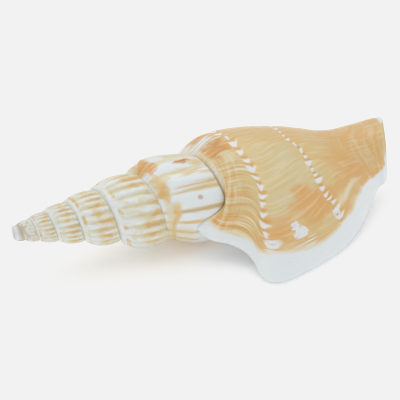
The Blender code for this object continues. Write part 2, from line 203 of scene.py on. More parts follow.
def curve(at, points):
    """Values of a smooth curve through points, each a position and one or more values."""
    table = np.array(points, float)
    xs, ys = table[:, 0], table[:, 1:]
    at = np.asarray(at, float)
    x = np.clip(at.ravel(), xs[0], xs[-1])
    slope = np.empty_like(ys)
    slope[1:-1] = (ys[2:] - ys[:-2]) / (xs[2:] - xs[:-2])[:, None]
    slope[0] = (ys[1] - ys[0]) / (xs[1] - xs[0])
    slope[-1] = (ys[-1] - ys[-2]) / (xs[-1] - xs[-2])
    i = np.clip(np.searchsorted(xs, x, side="right") - 1, 0, len(xs) - 2)
    step = (xs[i + 1] - xs[i])[:, None]
    t = (x - xs[i])[:, None] / step
    value = (
        (2 * t**3 - 3 * t**2 + 1) * ys[i]
        + (t**3 - 2 * t**2 + t) * step * slope[i]
        + (3 * t**2 - 2 * t**3) * ys[i + 1]
        + (t**3 - t**2) * step * slope[i + 1]
    )
    values_each = ys.shape[1:] if ys.shape[1] > 1 else ()
    return value.reshape(at.shape + values_each)


# Form

def hump(value, middle, width):
    return np.exp(-(((value - middle) / width) ** 2))


def reach(angle):
    """Distance from the spiral's pole to the suture, along the axis."""
    return BACK_REACH * GROWTH ** (np.asarray(angle, float) / TURN)


def suture_x(angle):
    return reach(angle) + SPIRAL_POLE - curve(angle, CLIMB)


def regular_radius(angle):
    return SUTURE_RADIUS * (reach(angle) / BACK_REACH) ** SLENDER


def rib_count(angle):
    angle = np.asarray(angle, float)
    even = RIBS * (angle - SEAM) / TURN + 0.5
    before_folds = RIBS * (FOLDS[0][0] - SEAM) / TURN + 0.5
    return np.where(angle < FOLDS[0][0], even, before_folds + curve(angle, FOLDS))


def rib(angle, share):
    """Height of the ribs, as a share of the distance to the pole."""
    along = rise(share, *RIBS_BEGIN) * rise(share, *RIBS_END)
    fading = rise(angle, SEAM + RIBS_FADE, SEAM) * rise(angle, START, START + TIP_WEAR)
    ridge = np.sqrt(np.cos(np.pi * rib_count(angle)) ** 2 + FURROW_ROUNDING) - RIB_MEAN
    return RIB_HEIGHT * ridge * along * fading


def whorl_radius(angle, x):
    """Radius of a spire whorl at X, its bulge, cord and ribs included."""
    start = reach(angle) + SPIRAL_POLE
    share = np.clip((x - start) / (reach(angle) * (GROWTH - 1)), 0, 1)
    base = regular_radius(angle) * (1 - share) + regular_radius(np.asarray(angle) + TURN) * share
    facing_down = np.clip(np.cos(np.radians(angle - SAG_SIDE)), 0, 1) ** 2
    below = facing_down * rise(reach(angle), *SAG_REACH)
    bulge = (BULGE + SAG * below) * np.sin(np.pi * share**BULGE_SKEW) ** BULGE_FULLNESS
    cord = CORD * hump(share, CORD_AT, CORD_WIDTH) - GROOVE * hump(share, GROOVE_AT, GROOVE_WIDTH)
    notch = NOTCH * (hump(share, 0, NOTCH_WIDTH) + hump(share, 1, NOTCH_WIDTH))
    back = curve(share, BACK) * hump(angle, BACK_SIDE, BACK_WIDTH)
    return base + reach(angle) * (bulge + cord - notch + back + rib(angle, share))


def spire_radius(angle, x):
    """Radius of the spire at X. Near the lip's growth line it turns into the last whorl's outline."""
    angle, x = np.broadcast_arrays(np.asarray(angle, float), np.asarray(x, float))
    plain = whorl_radius(angle, x)
    settled = rise(angle, SEAM - SETTLE, SEAM)
    if not settled.any():
        return plain
    start = suture_x(angle)
    last = last_radius(angle, (x - start) / (curve(angle, FRONT) - start))
    return plain * (1 - settled) + last * settled


def suture_radius(angle):
    """The suture lies on the whorl before."""
    return spire_radius(np.asarray(angle, float) - TURN, suture_x(angle))


def last_radius(angle, share):
    """Radius of the last whorl, share of the way from its suture to the front end."""
    widest = curve(angle, WIDEST)
    under = hump(angle, UNDER_SIDE, UNDER_WIDTH)
    far = np.maximum(share, SHOULDER_END)
    radius = widest * (curve(far, OUTLINE) * (1 - under) + curve(far, UNDERSIDE) * under)
    shoulder = curve(share / SHOULDER_END, SHOULDER)
    start = suture_radius(angle)
    radius = np.where(share < SHOULDER_END, start + (radius - start) * shoulder, radius)
    draw = rise(angle, *DRAW_TURN) * rise(share, *DRAW_SHARE)
    deep = SUTURE_DEPTH * rise(angle, *SUTURE_DEEPENS) * rise(angle, *SUTURE_ENDS)
    return radius * (1 - COLUMELLA_DRAW * draw) - deep * hump(share, 0, SUTURE_WIDTH)


def axis_rise(x):
    """The axis bends up towards the front end."""
    return CANAL_RISE * rise(x, CANAL_FROM, CANAL_FROM + CANAL_LENGTH)


def round_axis(x, radius, angle):
    a = np.radians(angle)
    return np.stack(np.broadcast_arrays(x, -radius * np.sin(a), radius * np.cos(a) + axis_rise(x)), -1)


def last_x(angle, share):
    start = suture_x(angle)
    return start + (curve(angle, FRONT) - start) * share


def ring_point(angle, share):
    return round_axis(last_x(angle, share), last_radius(angle, share), angle)


def flared_point(angle, share):
    """On the flared lip: a curve from the back of the whorl to the lip's edge, at one share."""
    back = ring_point(np.full_like(share, FLARE_FROM), share)
    a = np.radians(FLARE_FROM)
    leaving = np.array([0, -np.cos(a), -np.sin(a)])
    way = curve(share, EDGE_WAY)
    way /= np.linalg.norm(way, axis=-1, keepdims=True)
    further = np.minimum(share + NEAR_SHARE, 1)
    out = np.cross(way, curve(further, EDGE) - curve(further - 2 * NEAR_SHARE, EDGE))
    out /= np.linalg.norm(out, axis=-1, keepdims=True)
    edge = curve(share, EDGE) + out * curve(share, LIP_WALL)[..., None] / 2
    span = np.linalg.norm(edge - back, axis=-1, keepdims=True)
    u = np.clip((angle - FLARE_FROM) / (LIP - FLARE_FROM), 0, 1)[..., None]
    b, c = back + LEAVE_BACK * span * leaving, edge - MEET_EDGE * span * way
    point = (1 - u) ** 3 * back + 3 * (1 - u) ** 2 * u * b + 3 * (1 - u) * u**2 * c + u**3 * edge
    hollow = FRONT_HOLLOW * rise(share, HOLLOW_FROM, 1)[..., None] * 4 * u * (1 - u)
    return point - hollow * [1, 0, 0]


def outer_point(angle, share):
    """The last whorl's outer surface, from the seam to the lip."""
    angle, share = np.broadcast_arrays(np.asarray(angle, float), np.asarray(share, float))
    ring = ring_point(angle, share)
    free = rise(share, 0, JOIN_SHARE)[..., None]
    flared = flared_point(angle, share) * free + ring * (1 - free)
    return np.where((angle > FLARE_FROM)[..., None], flared, ring)


def outward(angle, share):
    """Unit normal of the outer surface, and its direction of growth."""
    later = np.minimum(angle + NEAR_ANGLE, LIP)
    grow = outer_point(later, share) - outer_point(later - 2 * NEAR_ANGLE, share)
    further = np.minimum(share + NEAR_SHARE, 1)
    on = outer_point(angle, further) - outer_point(angle, further - 2 * NEAR_SHARE)
    normal = np.cross(grow, on)
    normal /= np.linalg.norm(normal, axis=-1, keepdims=True)
    return normal, grow / np.linalg.norm(grow, axis=-1, keepdims=True)


def floor_radius(angle, x):
    """Radius of the hollow's floor: the whorl before, tapering to the columella."""
    start = suture_x(angle)
    front = curve(SEAM, FRONT)
    local = np.clip((x - start) / (front - start), 0, 1)
    deep = suture_radius(angle) * curve(local, FLOOR_TAPER)
    seam_share = (x - suture_x(SEAM)) / (front - suture_x(SEAM))
    near = last_radius(np.full_like(x, SEAM), np.clip(seam_share, 0, 1))
    settled = rise(angle, LIP, LIP - FLOOR_SETTLES)
    return near * (1 - settled) + deep * settled


def wall_point(angle, share):
    """Inner face of the wall: the outer surface, moved in by the wall's thickness."""
    angle, share = np.broadcast_arrays(np.asarray(angle, float), np.asarray(share, float))
    outer = outer_point(angle, share)
    normal, _ = outward(angle, share)
    near_lip = rise(angle, LIP_THICKENS_FROM, LIP)
    thickness = WALL + (curve(share, LIP_WALL) - WALL) * near_lip
    radius = np.hypot(outer[..., 1], outer[..., 2] - axis_rise(outer[..., 0]))
    room = np.maximum(radius - floor_radius(angle, outer[..., 0]), LEAST_ROOM)
    return outer - normal * np.minimum(thickness, WALL_TO_FLOOR * room)[..., None]


SEAM_SHARE = float((suture_x(LIP) - suture_x(SEAM)) / (curve(SEAM, FRONT) - suture_x(SEAM)))


def spaced(count):
    """Shares from 0 to 1, closer together at both ends."""
    t = np.linspace(0, 1, count + 1)
    return t - CROWDING * np.sin(2 * np.pi * t) / (2 * np.pi)


ACROSS = spaced(SPIRE_COLUMNS)
SHARES = np.concatenate([SEAM_SHARE * ACROSS, np.linspace(ONWARD_FROM, 1, ONWARD_COLUMNS)])
JOIN_COLUMN = len(ACROSS)
FLOOR_GAP = float((SHARES[JOIN_COLUMN] - SEAM_SHARE) * (curve(SEAM, FRONT) - suture_x(SEAM)))
WALL_FROM_COLUMN = int(np.searchsorted(SHARES, WALL_START_LIP))


def wall_shares(angles):
    """Shares of the wall's columns, one row for each angle. Away from the lip they start further on."""
    at_lip = SHARES[WALL_FROM_COLUMN:]
    first = at_lip[0] + (WALL_START_DEEP - at_lip[0]) * smooth((LIP - angles) / WALL_START_TURN)
    return 1 - (1 - at_lip[None, :]) * ((1 - first) / (1 - at_lip[0]))[:, None]


def floor_x(angle, share):
    """X on the floor of the hollow, which starts just past the suture and ends with the columella."""
    start = suture_x(angle) + FLOOR_GAP
    along = (share - SHARES[JOIN_COLUMN]) / (1 - SHARES[JOIN_COLUMN])
    return start + (curve(SEAM, FRONT) - start) * along


# Surface

OUTSIDE, INSIDE = 0, 1


class Patch:
    """Point numbers in a grid, each with its growth angle, its way across the whorl and its share."""

    def __init__(self, ids, angle, across, share):
        self.ids = ids
        self.marks = np.stack([np.broadcast_to(mark, ids.shape) for mark in (angle, across, share)], -1)


class Sheet:
    """Points and faces of the closed surface, with growth coordinates at each corner of each face."""

    def __init__(self):
        self.points, self.faces, self.marks, self.sides = [], [], [], []

    def add(self, points):
        points = np.asarray(points, float)
        first = len(self.points)
        self.points.extend(points.reshape(-1, 3))
        return first + np.arange(points.size // 3).reshape(points.shape[:-1])

    def face(self, side, *corners):
        """corners are (point number, marks)."""
        kept = [c for i, c in enumerate(corners) if c[0] != corners[i - 1][0]]
        if len(kept) > 2:
            self.faces.append([int(c[0]) for c in kept])
            self.marks.extend(c[1] for c in kept)
            self.sides.append(side)

    def grid(self, side, patch):
        ids, marks = patch.ids.tolist(), patch.marks
        for i in range(len(ids) - 1):
            for j in range(len(ids[0]) - 1):
                self.faces.append([ids[i][j], ids[i + 1][j], ids[i + 1][j + 1], ids[i][j + 1]])
                self.marks.extend(marks[m, n] for m, n in ((i, j), (i + 1, j), (i + 1, j + 1), (i, j + 1)))
                self.sides.append(side)

    def between(self, side, a, b):
        """Triangles between two lines of corners that need not have as many points as each other."""
        i = j = 0
        last_i, last_j = len(a) - 1, len(b) - 1
        while i < last_i or j < last_j:
            if j == last_j or (i < last_i and (i + 1) * last_j <= (j + 1) * last_i):
                self.face(side, a[i], a[i + 1], b[j])
                i += 1
            else:
                self.face(side, a[i], b[j + 1], b[j])
                j += 1


def corners(patch, rows, columns):
    """A line of a patch as corners."""
    ids, marks = patch.ids[rows, columns], patch.marks[rows, columns]
    return list(zip(ids.ravel().tolist(), marks.reshape(-1, 3)))


def rounded_edge(outer, inner, ahead, thickness):
    """Points over a rounded edge, from outer points to inner ones. ahead is the way out over the edge."""
    middle, half = (outer + inner) / 2, (outer - inner) / 2
    turn = np.pi * np.arange(1, EDGE_STEPS)[:, None] / EDGE_STEPS
    over = ahead[:, None] * (thickness[:, None] / 2 * np.sin(turn.T))[..., None]
    return middle[:, None] + half[:, None] * np.cos(turn) + over


def across_of(angle, x):
    """The way across a whorl at X: 0 at its suture, and 1 where an even spiral starts the next one."""
    return (x - suture_x(angle)) / (reach(angle) * (GROWTH - 1))


def add_whorls(sheet):
    """Spire and last whorl, and the line of points along their suture."""
    # each of the spire's rows leaves out its last point, which is the first one a whorl later
    angles = (START + ROW * np.arange(SPIRE_ROWS + 1))[:, None]
    start, end = suture_x(angles), suture_x(angles + TURN)
    x = start + (end - start) * ACROSS
    spire = sheet.add(round_axis(x, spire_radius(np.broadcast_to(angles, x.shape), x), angles)[:, :-1])
    spire_marks = (angles, across_of(angles, x), SEAM_SHARE * ACROSS[None, :])

    # the last whorl's first row is the spire's last one, carried on to the front end
    angles = (SEAM + ROW * np.arange(ROWS_PER_TURN + 1))[:, None]
    shares = SHARES[None, :]
    last = sheet.add(outer_point(angles[1:], shares))
    onward = sheet.add(outer_point(np.full(len(SHARES) - JOIN_COLUMN, SEAM), SHARES[JOIN_COLUMN:]))
    seam_row = np.concatenate([spire[-1], [last[-1, 0]], onward])
    last = Patch(np.vstack([seam_row, last]), angles, across_of(angles, last_x(angles, shares)), shares)
    suture = np.concatenate([spire[:, 0], last.ids[1:, 0]])
    closing = suture[ROWS_PER_TURN : ROWS_PER_TURN + SPIRE_ROWS + 1]
    spire = Patch(np.column_stack([spire, closing]), *spire_marks)
    sheet.grid(OUTSIDE, spire)
    sheet.grid(OUTSIDE, last)
    return spire, last, suture


def add_tip(sheet, spire, suture):
    """Worn tip: its sides, then a flat with a rounded edge."""
    loop = np.concatenate([spire.ids[0, :-1], suture[1 : ROWS_PER_TURN + 1][::-1]])
    turned = START - TURN * np.arange(len(loop)) / len(loop)
    first = np.array([sheet.points[i] for i in loop])
    radius = np.hypot(first[:, 1], first[:, 2])
    facing = START - TURN * np.maximum(np.arange(len(loop)) - SPIRE_COLUMNS, 0) / ROWS_PER_TURN
    rings = []
    for t in TIP_SIDE_STEPS:
        x = first[:, 0] * (1 - t) + (TIP_X + TIP_ROUND) * t
        rings.append(round_axis(x, radius * (1 - t) + TIP_RADIUS * t, facing * (1 - t) + turned * t))
    for turn in np.radians(TIP_CORNER_STEPS):
        x = TIP_X + TIP_ROUND * (1 - np.sin(turn))
        rings.append(round_axis(x, TIP_RADIUS - TIP_ROUND * (1 - np.cos(turn)), turned))
    for share in TIP_FLAT_STEPS:
        rings.append(round_axis(TIP_X, (TIP_RADIUS - TIP_ROUND) * share, turned))
    before = list(zip(loop.tolist(), [np.array([START, TIP_ACROSS, 0.0])] * len(loop)))
    for count, ring in enumerate(rings, 1):
        mark = np.array([START - TIP_RING * count, TIP_ACROSS, 0.0])
        after = list(zip(sheet.add(ring).tolist(), [mark] * len(loop)))
        for k in range(len(loop)):
            sheet.face(OUTSIDE, before[k - 1], before[k], after[k], after[k - 1])
        before = after
    middle = (int(sheet.add([TIP_X, 0, 0])), before[0][1])
    for k in range(len(loop)):
        sheet.face(OUTSIDE, before[k - 1], before[k], middle)


def add_hollow(sheet, last):
    """Inner face of the wall, and the floor under it."""
    angles = LIP - INNER_ROW * np.arange(INNER_ROWS + 1)
    shares = wall_shares(angles)
    wall = Patch(sheet.add(wall_point(angles[:, None], shares)), angles[:, None], 0, shares)
    floor_angle, floor_share = np.meshgrid(angles[1:], SHARES[JOIN_COLUMN:], indexing="ij")
    x = floor_x(floor_angle, floor_share)
    floor = sheet.add(round_axis(x, floor_radius(floor_angle, x), floor_angle))
    floor = np.vstack([last.ids[0, JOIN_COLUMN:], floor])
    floor = Patch(floor, angles[:, None] - TURN, 0, SHARES[None, JOIN_COLUMN:])
    sheet.grid(INSIDE, wall)
    sheet.grid(INSIDE, floor)
    sheet.between(INSIDE, corners(wall, slice(None), 0), corners(floor, slice(None), 0))
    sheet.between(INSIDE, corners(wall, -1, slice(None)), corners(floor, -1, slice(None)))
    return wall, floor


def add_lip(sheet, last, wall, floor):
    """The lip's rounded edge, and the corner where it meets the spire."""
    points = np.array(sheet.points)
    lip = last.ids[-1, WALL_FROM_COLUMN:]
    share = SHARES[WALL_FROM_COLUMN:]
    _, ahead = outward(np.full_like(share, LIP), share)
    edge = sheet.add(rounded_edge(points[lip], points[wall.ids[0]], ahead, curve(share, LIP_WALL)))
    edge = Patch(np.column_stack([lip, edge, wall.ids[0]]), LIP, 0, share[:, None])
    sheet.grid(OUTSIDE, edge)
    notch = corners(last, -1, slice(WALL_FROM_COLUMN))
    sheet.face(OUTSIDE, *notch, *corners(edge, 0, slice(None)), *corners(floor, 0, 0))
    return edge


def add_front_end(sheet, last, wall, floor, edge):
    """The wall's edge at the front end, then the end of the columella."""
    rows_back = INNER_ROWS * round(INNER_ROW / ROW)
    rim = corners(last, slice(-1 - rows_back, None), -1)
    sheet.between(INSIDE, rim[::-1], corners(wall, slice(None), -1))
    sheet.face(OUTSIDE, *corners(edge, -1, slice(None)))
    loop = corners(last, slice(None, -rows_back), -1) + corners(floor, slice(None, 0, -1), -1)
    middle = (int(sheet.add([COLUMELLA_END, 0, CANAL_RISE])), np.array([SEAM, 0.0, 1.0]))
    for k in range(len(loop)):
        sheet.face(INSIDE, loop[k - 1], loop[k], middle)
    sheet.face(INSIDE, rim[0], corners(wall, -1, -1)[0], corners(floor, -1, -1)[0])


def build_sheet():
    sheet = Sheet()
    spire, last, suture = add_whorls(sheet)
    add_tip(sheet, spire, suture)
    wall, floor = add_hollow(sheet, last)
    edge = add_lip(sheet, last, wall, floor)
    add_front_end(sheet, last, wall, floor, edge)
    return sheet


# Mesh

# The coiling axis in the row frame
AXIS_TILT = 1.473
AXIS_ORIGIN = (38.6709, -5.4613, -10.2314)

# Where the lip's white margin starts: share, then growth angle
MARGIN = [(0, 90.5), (0.015, 91.5), (0.053, 94.0), (0.11, 98.6), (0.158, 95.2), (0.211, 88.4),
          (0.246, 89.6), (0.289, 92.2), (0.329, 93.6), (0.373, 93.2), (0.41, 89.8), (0.438, 88.6),
          (0.477, 88.0), (0.539, 84.5), (0.605, 82.0), (0.797, 82.5), (0.899, 79.5), (1, 75.0)]
MM_PER_DEGREE = 0.25

# Rows of white wedges on the last whorl: growth angle, then share, and number of wedges so far
UPPER_ROW = [(-256, 0.2, -24), (-60, 0.17, -7), (-7, 0.135, -2.4), (5, 0.146, -1.4), (21.5, 0.144, 0),
             (30.8, 0.152, 1), (36.3, 0.165, 2), (43, 0.172, 3), (47.4, 0.188, 4), (54, 0.197, 5),
             (58.4, 0.193, 6), (63.8, 0.194, 7), (70.5, 0.193, 8), (75.8, 0.197, 9), (81.4, 0.211, 10),
             (104, 0.25, 14)]
LOWER_ROW = [(-256, 0.44, -30), (-60, 0.41, -7), (2.5, 0.407, 0), (16.2, 0.416, 2), (23.1, 0.43, 3),
             (28.3, 0.456, 4), (34.2, 0.46, 5), (42.3, 0.451, 6.6), (49.1, 0.44, 8), (52.7, 0.44, 9),
             (58.4, 0.428, 10), (63.8, 0.425, 11), (67.8, 0.421, 12), (70.5, 0.432, 13), (81, 0.424, 15),
             (104, 0.44, 19)]


def placed(points):
    """Points from the coiling axis' frame to the row frame, in metres."""
    a = np.radians(AXIS_TILT)
    x, y, z = np.array(points).T
    turned = np.stack([x * np.cos(a) + z * np.sin(a), y, z * np.cos(a) - x * np.sin(a)], -1)
    return (turned - AXIS_ORIGIN) * MM


def add_fields(mesh, name, *values):
    layer = mesh.attributes.new(name, "FLOAT_VECTOR", "CORNER")
    layer.data.foreach_set("vector", np.stack(values, -1).astype(np.float32).ravel())


def build_surface(materials):
    sheet = build_sheet()
    mesh = bpy.data.meshes.new("shell_surface")
    mesh.from_pydata(placed(sheet.points).tolist(), [], sheet.faces)
    angle, across, share = np.array(sheet.marks).T
    length = curve(angle, FRONT) - suture_x(angle)
    upper, lower = curve(angle, UPPER_ROW), curve(angle, LOWER_ROW)
    add_fields(mesh, "growth", angle, across, share)
    past_margin = (angle - curve(share, MARGIN)) * MM_PER_DEGREE
    add_fields(mesh, "form", rib_count(angle), past_margin, share * length)
    add_fields(mesh, "upper_row", upper[:, 1], (share - upper[:, 0]) * length, share)
    add_fields(mesh, "lower_row", lower[:, 1], (share - lower[:, 0]) * length, share)
    mesh.polygons.foreach_set("material_index", sheet.sides)
    mesh.polygons.foreach_set("use_smooth", [True] * len(mesh.polygons))
    for material in materials:
        mesh.materials.append(material)
    body = bmesh.new()
    body.from_mesh(mesh)
    bmesh.ops.recalc_face_normals(body, faces=body.faces)
    body.to_mesh(mesh)
    body.free()
    surface = bpy.data.objects.new("shell_surface", mesh)
    bpy.context.scene.collection.objects.link(surface)
    return surface


# Shader arithmetic

# Numbers of the mix node's colour sockets
MIX_FIRST = 6
MIX_SECOND = 7
MIX_RESULT = 2
COAT_ROUGHNESS = 0.15
REFRACTION = 1.5


def plug(socket, value):
    """Links a field to a socket, or sets the socket's own value."""
    if isinstance(value, Field):
        socket.id_data.links.new(value.socket, socket)
    else:
        socket.default_value = value


class Field:
    """A value that varies over the surface: the output of a shader node. Plain arithmetic works on it."""

    def __init__(self, socket):
        self.socket = socket

    def node(self, kind, inputs, **settings):
        made = self.socket.id_data.nodes.new(kind)
        for name, value in settings.items():
            setattr(made, name, value)
        for name, value in inputs.items():
            plug(made.inputs[name], value)
        return made

    def math(self, operation, *others):
        made = self.node("ShaderNodeMath", dict(enumerate((self, *others))), operation=operation)
        return Field(made.outputs[0])

    def __add__(self, other):
        return self.math("ADD", other)

    __radd__ = __add__

    def __sub__(self, other):
        return self.math("SUBTRACT", other)

    def __rsub__(self, other):
        return self.math("MULTIPLY_ADD", -1.0, other)

    def __mul__(self, other):
        return self.math("MULTIPLY", other)

    __rmul__ = __mul__

    def __truediv__(self, other):
        return self.math("DIVIDE", other)

    def __pow__(self, other):
        return self.math("POWER", other)

    def __abs__(self):
        return self.math("ABSOLUTE")

    def fraction(self):
        return self.math("FRACT")

    def whole(self):
        return self.math("FLOOR")

    def least(self, other):
        return self.math("MINIMUM", other)

    def most(self, other):
        return self.math("MAXIMUM", other)

    def rise(self, low, high):
        """0 below low and 1 above high, or the other way round if low is the higher one."""
        made = self.node("ShaderNodeMapRange", {"Value": self, "From Min": low, "From Max": high},
                         interpolation_type="SMOOTHSTEP")
        return Field(made.outputs["Result"])

    def near(self, middle, width):
        """1 at the middle, and 0 from that far on either side."""
        return abs(self - middle).rise(width, 0.0)

    def between(self, low, high, soft):
        """1 from low to high, with soft ends."""
        return self.rise(low - soft, low + soft) * self.rise(high + soft, high - soft)

    def mixed(self, a, b):
        """Colour a where this is 0, and colour b where it is 1."""
        made = self.node("ShaderNodeMix", {"Factor": self}, data_type="RGBA")
        plug(made.inputs[MIX_FIRST], a)
        plug(made.inputs[MIX_SECOND], b)
        return Field(made.outputs[MIX_RESULT])


def vector(x, y, z=0.0):
    made = x.node("ShaderNodeCombineXYZ", {"X": x, "Y": y, "Z": z})
    return Field(made.outputs[0])


def noise(x, y, z=0.0, detail=2.0, roughness=0.5):
    """Smooth noise around 0.5, with features about 1 across."""
    made = x.node("ShaderNodeTexNoise", {"Vector": vector(x, y, z), "Scale": 1.0, "Detail": detail,
                                         "Roughness": roughness})
    return Field(made.outputs["Fac"])


def chance(x, seed):
    """A number from 0 to 1 for each whole number."""
    made = x.node("ShaderNodeTexWhiteNoise", {"Vector": vector(x, x * 0.0 + seed)}, noise_dimensions="2D")
    return Field(made.outputs["Value"])


def spot(x, y, middle_x, middle_y, half_x, half_y, soft=0.5):
    """1 inside an oval, with a soft border."""
    apart = ((x - middle_x) / half_x) ** 2.0 + ((y - middle_y) / half_y) ** 2.0
    return apart.rise(1.0 + soft, 1.0 - soft)


def srgb(*levels):
    """A colour from levels out of 255."""
    share = np.array(levels, float) / 255
    linear = np.where(share <= 0.04045, share / 12.92, ((share + 0.055) / 1.055) ** 2.4)
    return (*linear.tolist(), 1.0)


def read_fields(tree, name):
    source = tree.nodes.new("ShaderNodeAttribute")
    source.attribute_name = name
    split = tree.nodes.new("ShaderNodeSeparateXYZ")
    tree.links.new(source.outputs["Vector"], split.inputs[0])
    return [Field(socket) for socket in split.outputs]


def new_material(name, coat):
    material = bpy.data.materials.new(name)
    material.use_nodes = True
    tree = material.node_tree
    finish = tree.nodes["Principled BSDF"]
    finish.inputs["Coat Weight"].default_value = coat
    finish.inputs["Coat Roughness"].default_value = COAT_ROUGHNESS
    finish.inputs["IOR"].default_value = REFRACTION
    return material, tree, finish


def bumped(finish, height, distance):
    """height 1 stands this many millimetres above height 0."""
    made = height.node("ShaderNodeBump", {"Height": height, "Distance": distance * MM, "Strength": 1.0})
    plug(finish.inputs["Normal"], Field(made.outputs[0]))


# Markings, and painted shade along the sutures

WHITE = srgb(226, 231, 232)
CREAM = srgb(231, 223, 196)
STRAW = srgb(217, 207, 165)
OLIVE = srgb(212, 197, 153)
GOLD = srgb(219, 188, 122)
TAN = srgb(216, 171, 109)
ORANGE = srgb(219, 166, 96)
RUST = srgb(211, 147, 70)
BROWN = srgb(187, 130, 66)
# UMBER is the colour of real marks, and also of painted shade along the sutures
UMBER = srgb(189, 170, 130)
INNER_CREAM = srgb(233, 222, 202)

# Ovals on the last whorl: middle and half size in growth angle and share, then softness of the border
ORANGE_STAINS = [(0.95, (67.0, 0.365, 12.0, 0.085, 0.8)), (0.75, (52.0, 0.68, 16.0, 0.12, 0.9)),
                 (0.7, (66.0, 0.60, 6.0, 0.20, 0.9)), (0.85, (77.0, 0.235, 10.0, 0.05, 0.9)),
                 (0.7, (87.0, 0.05, 6.0, 0.03, 0.9))]
SHOULDER_BLOTCH = (11.0, 0.078, 15.0, 0.050, 0.6)
SHOULDER_GAP = (26.0, 0.090, 6.0, 0.026, 0.6)
WHITE_BLOTS = [(80.6, 0.289, 4.2, 0.019, 0.8), (75.4, 0.279, 2.6, 0.013, 0.8)]
WHITE_STREAKS = [(87.0, 0.297, 4.5, 0.030, 0.8), (84.0, 0.219, 4.5, 0.022, 0.8)]
CURL = (80.0, 0.42, 3.2, 0.014, 0.3)
CURL_HOLLOW = (80.4, 0.418, 1.6, 0.006, 0.3)

# Stretches on the last whorl: from, to and softness, in growth angle, share or millimetres from the suture
OLIVE_ANGLES = (22.0, 76.0, 10.0)
OLIVE_SHARES = (0.20, 0.44, 0.05)
PALE_SHOULDER = (-75.0, 0.0, 9.0)
CORDED_DEPTHS = (0.9, 4.2, 0.5)
WHITE_SUTURE = (24.0, 54.0, 6.0)
# stretch of painted shade along the suture's groove
SUTURE_PAINTED_SHADE = (-8.0, 98.0, 6.0)

# Lip's margin: millimetres of growth past its start
FRINGE = (-2.4, -0.7, 0.6)
GROWTH_BAND = (-3.2, 0.9)
GROWTH_BAND_SHARES = (0.44, 0.62, 0.04)

# White wedges: unevenness, least size and its spread, slant, blunt end, and their part of a step
WEDGE_STRAY = 0.8
WEDGE_SIZE = 0.5
WEDGE_SIZE_SPREAD = 0.8
WEDGE_SLANT = 0.5
WEDGE_BLUNT = 1.1
WEDGE_STRETCH = (0.2, 0.8, 0.12)
WEDGE_BORDER = (-0.15, 0.25)
WEDGE_SHADE = 0.42

# Ovals on the whorl before the last one: middle and half size in growth angle and width, then softness
WHITE_GAP = (-373.0, 0.36, 8.0, 0.16, 0.6)
BACK_BLOTCH = (-365.0, 0.13, 19.0, 0.14, 0.6)
RUSTY_PATCH = (-349.2, 0.66, 4.0, 0.16, 0.7)
BROWN_STREAK = (-350.5, 0.64, 2.6, 0.13, 0.7)
GOLDEN_PATCH = (-344.5, 0.84, 5.0, 0.12, 0.8)
SUTURE_STAIN = (-321.0, 0.11, 23.0, 0.095, 0.7)
STAIN_GAP = (-331.0, 0.24, 7.0, 0.08, 0.7)
BROWN_FLECK = (-298.9, 0.60, 2.8, 0.042, 0.8)

# Lines along a rib there: growth angle and half width, then the stretch of the whorl's width
UMBER_LINE = (-284.6, 3.2)
UMBER_LINE_WIDTH = (0.14, 0.95, 0.05)
ORANGE_LINES = [(-314.8, 1.8), (-309.0, 1.6)]
ORANGE_LINES_WIDTH = (0.28, 0.97, 0.05)

# Stretches there: from, to and softness, in growth angle or millimetres from the suture
STREAKED = (-338.0, -306.0, 3.0)
GOLDEN_FOLD = (-319.0, -306.0, 2.0)
RUSTY_FOLD = (-400.0, -384.0, 1.5)
STRAW_DEPTHS = (0.25, 0.75, 0.15)
GOLDEN_DEPTHS = (0.75, 1.35, 0.2)

# Degrees that the borders of stains stray over
LAST_STRAY = 22.0
FOLDED_STRAY = 12.0

# Growth angles where one look turns into the next
CLOSE_RIBS = (-292.0, -280.0)
FOLDED_FROM = (-401.0, -396.0)
LAST_FROM = (-226.0, -204.0)
GLAZE_TO = (-208.0, -228.0)


def centred(grain):
    """Noise moved to lie around 0."""
    return grain - 0.5


def wedges(count, side, width, seed):
    """White wedges in a row: count of wedges so far, and the way across the row in millimetres."""
    uneven = count + centred(noise(count * 0.9, side * 0.8, seed)) * WEDGE_STRAY
    phase = uneven.fraction()
    size = chance(uneven.whole(), seed) * WEDGE_SIZE_SPREAD + WEDGE_SIZE
    wide = (WEDGE_BLUNT - phase) * width * size
    inside = (wide - abs(side + centred(phase) * WEDGE_SLANT)).rise(*WEDGE_BORDER)
    return inside * phase.between(*WEDGE_STRETCH)


def last_colours(share, strayed, off, lines, broad, margin):
    """The last whorl's plain colours, with wide stains."""
    warm = (broad * 0.8 + lines * 0.5).rise(0.50, 0.84)
    middle = share.between(*OLIVE_SHARES) * strayed.between(*OLIVE_ANGLES)
    body = (warm * 0.6 + 0.4 - middle * 0.55).most(0.0).mixed(OLIVE, GOLD)
    body = (share.rise(0.46, 0.74) * 0.8).mixed(body, TAN)
    body = (strayed.rise(34.0, -4.0) * 0.45).mixed(body, TAN)
    for strength, oval in ORANGE_STAINS:
        body = (spot(strayed, off, *oval) * strength).mixed(body, ORANGE)
    fringe = margin.between(*FRINGE) * broad.rise(0.30, 0.55)
    return (fringe * 0.7).mixed(body, ORANGE)


def growth_lines(body, share, lines, thread):
    """Fine lines along the growth, sharpest next to the suture."""
    near_suture = share.rise(0.21, 0.13)
    body = (thread.rise(0.47, 0.36) * (near_suture * 0.50 + 0.30)).mixed(body, CREAM)
    body = (thread.rise(0.54, 0.66) * (near_suture * 0.46 + 0.16)).mixed(body, RUST)
    return (lines.rise(0.54, 0.70) * (near_suture * 0.25 + 0.30)).mixed(body, ORANGE)


